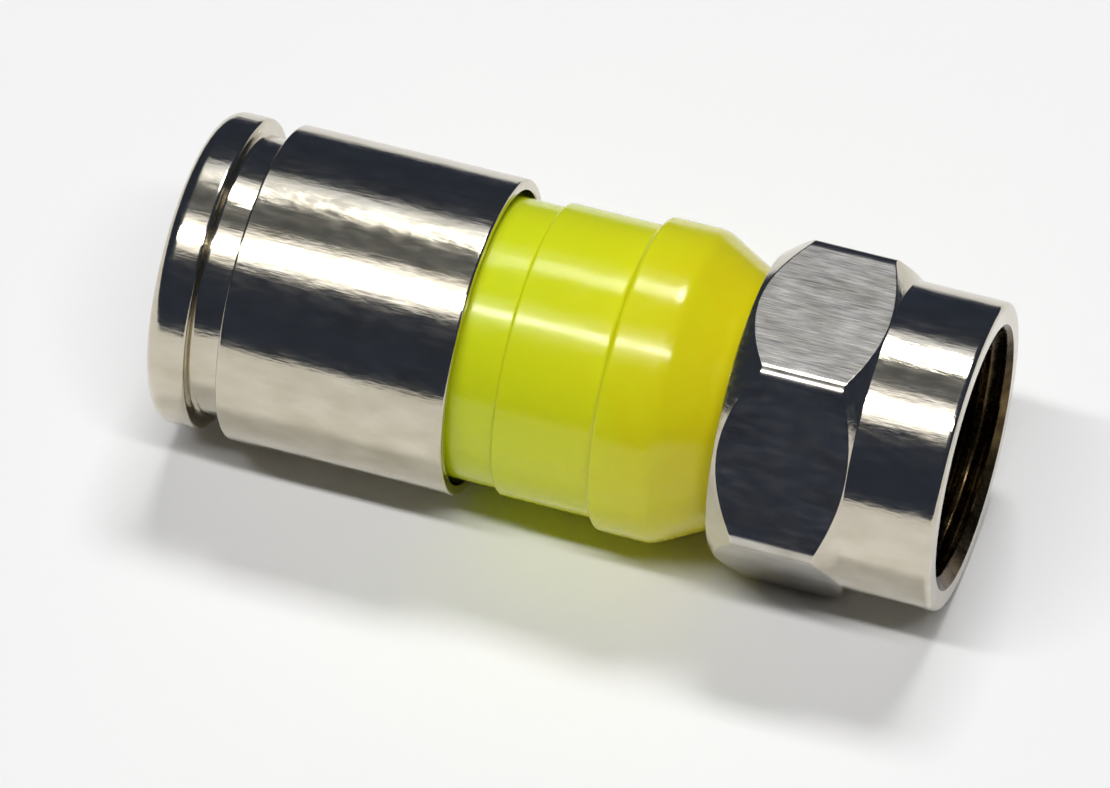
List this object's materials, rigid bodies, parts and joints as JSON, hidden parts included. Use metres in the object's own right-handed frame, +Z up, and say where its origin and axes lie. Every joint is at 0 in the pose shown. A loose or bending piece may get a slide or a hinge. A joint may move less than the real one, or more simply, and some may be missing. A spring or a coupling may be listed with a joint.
{
  "type": "f connector",
  "caption": "Compression F connector for coaxial cable: spinning hexagonal nut with internal thread, yellow plastic body, hollow post and a sliding grooved metal sleeve.",
  "frame": {"origin": "centre of the bounding box's bottom face: on the surface the connector lies on, under its axis and half way along it", "axes": "+X along the connector's axis towards the nut's mating face, +Z up, with a flat of the nut's hexagon downwards"},
  "size_m": [0.0286, 0.0128, 0.0114],
  "materials": {
    "nickel_nut": "nickel plate on brass, turned skirt and lengthwise brushed flats",
    "nickel_sleeve": "bright nickel plate on drawn and turned brass, light handling scratches",
    "plated_post": "plain plated brass, turned",
    "yellow_acetal": "glossy moulded acetal, lemon yellow",
    "black_rubber": "matt moulded rubber"
  },
  "bodies": {
    "body": {"connector_body": "yellow_acetal", "inner_post": "plated_post", "nut_seal_ring": "black_rubber"},
    "nut": {"coupling_nut": "nickel_nut"},
    "sleeve": {"compression_sleeve": "nickel_sleeve"}
  },
  "joints": [
    {"name": "nut_spin", "type": "hinge", "parent": "body", "child": "nut", "pos_m": [0.0143, 0, 0.00571], "axis": [1, 0, 0], "continuous": true},
    {"name": "sleeve_slide", "type": "slide", "parent": "body", "child": "sleeve", "axis": [1, 0, 0], "range_m": [0, 0.00513]}
  ]
}
